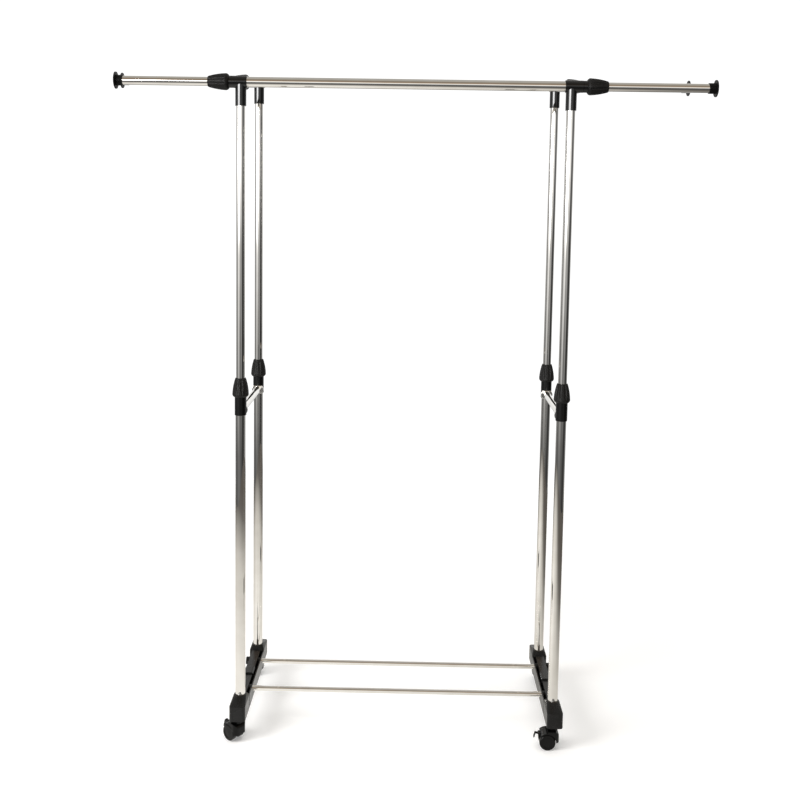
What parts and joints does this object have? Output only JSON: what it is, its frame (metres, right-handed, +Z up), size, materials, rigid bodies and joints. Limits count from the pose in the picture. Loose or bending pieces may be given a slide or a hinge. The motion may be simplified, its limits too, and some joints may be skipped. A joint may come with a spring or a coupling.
{
  "type": "rolling clothes rack",
  "caption": "Rolling garment rack with two height-adjustable telescopic rails on four uprights, moulded feet and swivelling casters.",
  "frame": {"origin": "on the floor, midway between the four legs; the bounding box's bottom centre within about 1 cm, because the casters and extension rods are not set alike", "axes": "+X along the rails to the right, +Y from front to rear, +Z up"},
  "size_m": [1.517, 0.39, 1.6833],
  "materials": {
    "polished_steel": "polished stainless steel tube",
    "black_plastic": "fine-textured semi-gloss moulding",
    "caster_plastic": "smooth glossy moulding",
    "nylon": "plain moulding",
    "zinc_steel": "zinc plated"
  },
  "bodies": {
    "base": {"bottom_bar_front": "polished_steel", "bottom_bar_rear": "polished_steel", "brace_bar_left": "polished_steel", "brace_bar_right": "polished_steel", "caster_stems": "zinc_steel", "bottom_bar_screws": "zinc_steel", "foot_left_front": "black_plastic", "leg_collar_left_front": "black_plastic", "lower_upright_left_front": "polished_steel", "foot_left_rear": "black_plastic", "leg_collar_left_rear": "black_plastic", "lower_upright_left_rear": "polished_steel", "foot_right_front": "black_plastic", "leg_collar_right_front": "black_plastic", "lower_upright_right_front": "polished_steel", "foot_right_rear": "black_plastic", "leg_collar_right_rear": "black_plastic", "lower_upright_right_rear": "polished_steel"},
    "front_rail": {"rail_tube_front": "polished_steel", "upright_guides_front": "nylon", "upper_upright_left_front": "polished_steel", "rail_tee_left_front": "black_plastic", "upper_upright_right_front": "polished_steel", "rail_tee_right_front": "black_plastic"},
    "rear_rail": {"rail_tube_rear": "polished_steel", "upright_guides_rear": "nylon", "upper_upright_left_rear": "polished_steel", "rail_tee_left_rear": "black_plastic", "upper_upright_right_rear": "polished_steel", "rail_tee_right_rear": "black_plastic"},
    "left_front_leg_nut": {"leg_nut_left_front": "black_plastic"},
    "left_front_rail_nut": {"rail_nut_left_front": "black_plastic"},
    "left_front_rod": {"extension_rod_left_front": "polished_steel", "end_cap_left_front": "black_plastic"},
    "left_front_caster": {"caster_hood_left_front": "caster_plastic", "caster_axle_left_front": "zinc_steel"},
    "left_front_wheels": {"caster_wheels_left_front": "caster_plastic"},
    "left_front_brake": {"brake_lever_left_front": "caster_plastic"},
    "left_rear_leg_nut": {"leg_nut_left_rear": "black_plastic"},
    "left_rear_rail_nut": {"rail_nut_left_rear": "black_plastic"},
    "left_rear_rod": {"extension_rod_left_rear": "polished_steel", "end_cap_left_rear": "black_plastic"},
    "left_rear_caster": {"caster_hood_left_rear": "caster_plastic", "caster_axle_left_rear": "zinc_steel"},
    "left_rear_wheels": {"caster_wheels_left_rear": "caster_plastic"},
    "right_front_leg_nut": {"leg_nut_right_front": "black_plastic"},
    "right_front_rail_nut": {"rail_nut_right_front": "black_plastic"},
    "right_front_rod": {"extension_rod_right_front": "polished_steel", "end_cap_right_front": "black_plastic"},
    "right_front_caster": {"caster_hood_right_front": "caster_plastic", "caster_axle_right_front": "zinc_steel"},
    "right_front_wheels": {"caster_wheels_right_front": "caster_plastic"},
    "right_front_brake": {"brake_lever_right_front": "caster_plastic"},
    "right_rear_leg_nut": {"leg_nut_right_rear": "black_plastic"},
    "right_rear_rail_nut": {"rail_nut_right_rear": "black_plastic"},
    "right_rear_rod": {"extension_rod_right_rear": "polished_steel", "end_cap_right_rear": "black_plastic"},
    "right_rear_caster": {"caster_hood_right_rear": "caster_plastic", "caster_axle_right_rear": "zinc_steel"},
    "right_rear_wheels": {"caster_wheels_right_rear": "caster_plastic"}
  },
  "joints": [
    {"name": "front_rail_height", "type": "slide", "parent": "base", "child": "front_rail", "axis": [0, 0, 1], "range_m": [-0.655, 0.04]},
    {"name": "rear_rail_height", "type": "slide", "parent": "base", "child": "rear_rail", "axis": [0, 0, 1], "range_m": [-0.686, 0.01]},
    {"name": "left_front_leg_nut_turn", "type": "hinge", "parent": "base", "child": "left_front_leg_nut", "pos_m": [-0.395, -0.1425, 0.89], "axis": [0, 0, 1], "range_deg": [0, 150]},
    {"name": "left_front_rail_nut_turn", "type": "hinge", "parent": "front_rail", "child": "left_front_rail_nut", "pos_m": [-0.45, -0.1425, 1.632], "axis": [-1, 0, 0], "range_deg": [0, 150]},
    {"name": "left_front_rod_slide", "type": "slide", "parent": "front_rail", "child": "left_front_rod", "axis": [-1, 0, 0], "range_m": [-0.2033, 0.0762]},
    {"name": "left_front_caster_swivel", "type": "hinge", "parent": "base", "child": "left_front_caster", "pos_m": [-0.395, -0.176, 0.05], "axis": [0, 0, 1], "continuous": true},
    {"name": "left_front_wheel_spin", "type": "hinge", "parent": "left_front_caster", "child": "left_front_wheels", "pos_m": [-0.40802, -0.16507, 0.02], "axis": [-0.6428, -0.766, 0], "continuous": true},
    {"name": "left_front_brake_press", "type": "hinge", "parent": "left_front_caster", "child": "left_front_brake", "pos_m": [-0.42299, -0.15252, 0.03639], "axis": [-0.6428, -0.766, 0], "range_deg": [0, 10]},
    {"name": "left_rear_leg_nut_turn", "type": "hinge", "parent": "base", "child": "left_rear_leg_nut", "pos_m": [-0.395, 0.1425, 0.89], "axis": [0, 0, 1], "range_deg": [0, 150]},
    {"name": "left_rear_rail_nut_turn", "type": "hinge", "parent": "rear_rail", "child": "left_rear_rail_nut", "pos_m": [-0.45, 0.1425, 1.663], "axis": [-1, 0, 0], "range_deg": [0, 150]},
    {"name": "left_rear_rod_slide", "type": "slide", "parent": "rear_rail", "child": "left_rear_rod", "axis": [-1, 0, 0], "range_m": [-0.2703, 0.0092]},
    {"name": "left_rear_caster_swivel", "type": "hinge", "parent": "base", "child": "left_rear_caster", "pos_m": [-0.395, 0.176, 0.05], "axis": [0, 0, 1], "continuous": true},
    {"name": "left_rear_wheel_spin", "type": "hinge", "parent": "left_rear_caster", "child": "left_rear_wheels", "pos_m": [-0.412, 0.176, 0.02], "axis": [0, -1, 0], "continuous": true},
    {"name": "right_front_leg_nut_turn", "type": "hinge", "parent": "base", "child": "right_front_leg_nut", "pos_m": [0.395, -0.1425, 0.89], "axis": [0, 0, 1], "range_deg": [0, 150]},
    {"name": "right_front_rail_nut_turn", "type": "hinge", "parent": "front_rail", "child": "right_front_rail_nut", "pos_m": [0.45, -0.1425, 1.632], "axis": [1, 0, 0], "range_deg": [0, 150]},
    {"name": "right_front_rod_slide", "type": "slide", "parent": "front_rail", "child": "right_front_rod", "axis": [1, 0, 0], "range_m": [-0.2378, 0.0332]},
    {"name": "right_front_caster_swivel", "type": "hinge", "parent": "base", "child": "right_front_caster", "pos_m": [0.395, -0.176, 0.05], "axis": [0, 0, 1], "continuous": true},
    {"name": "right_front_wheel_spin", "type": "hinge", "parent": "right_front_caster", "child": "right_front_wheels", "pos_m": [0.378, -0.176, 0.02], "axis": [0, -1, 0], "continuous": true},
    {"name": "right_front_brake_press", "type": "hinge", "parent": "right_front_caster", "child": "right_front_brake", "pos_m": [0.35847, -0.176, 0.03639], "axis": [0, -1, 0], "range_deg": [0, 10]},
    {"name": "right_rear_leg_nut_turn", "type": "hinge", "parent": "base", "child": "right_rear_leg_nut", "pos_m": [0.395, 0.1425, 0.89], "axis": [0, 0, 1], "range_deg": [0, 150]},
    {"name": "right_rear_rail_nut_turn", "type": "hinge", "parent": "rear_rail", "child": "right_rear_rail_nut", "pos_m": [0.45, 0.1425, 1.663], "axis": [1, 0, 0], "range_deg": [0, 150]},
    {"name": "right_rear_rod_slide", "type": "slide", "parent": "rear_rail", "child": "right_rear_rod", "axis": [1, 0, 0], "range_m": [-0.2573, 0.0222]},
    {"name": "right_rear_caster_swivel", "type": "hinge", "parent": "base", "child": "right_rear_caster", "pos_m": [0.395, 0.176, 0.05], "axis": [0, 0, 1], "continuous": true},
    {"name": "right_rear_wheel_spin", "type": "hinge", "parent": "right_rear_caster", "child": "right_rear_wheels", "pos_m": [0.412, 0.176, 0.02], "axis": [0, 1, 0], "continuous": true}
  ]
}
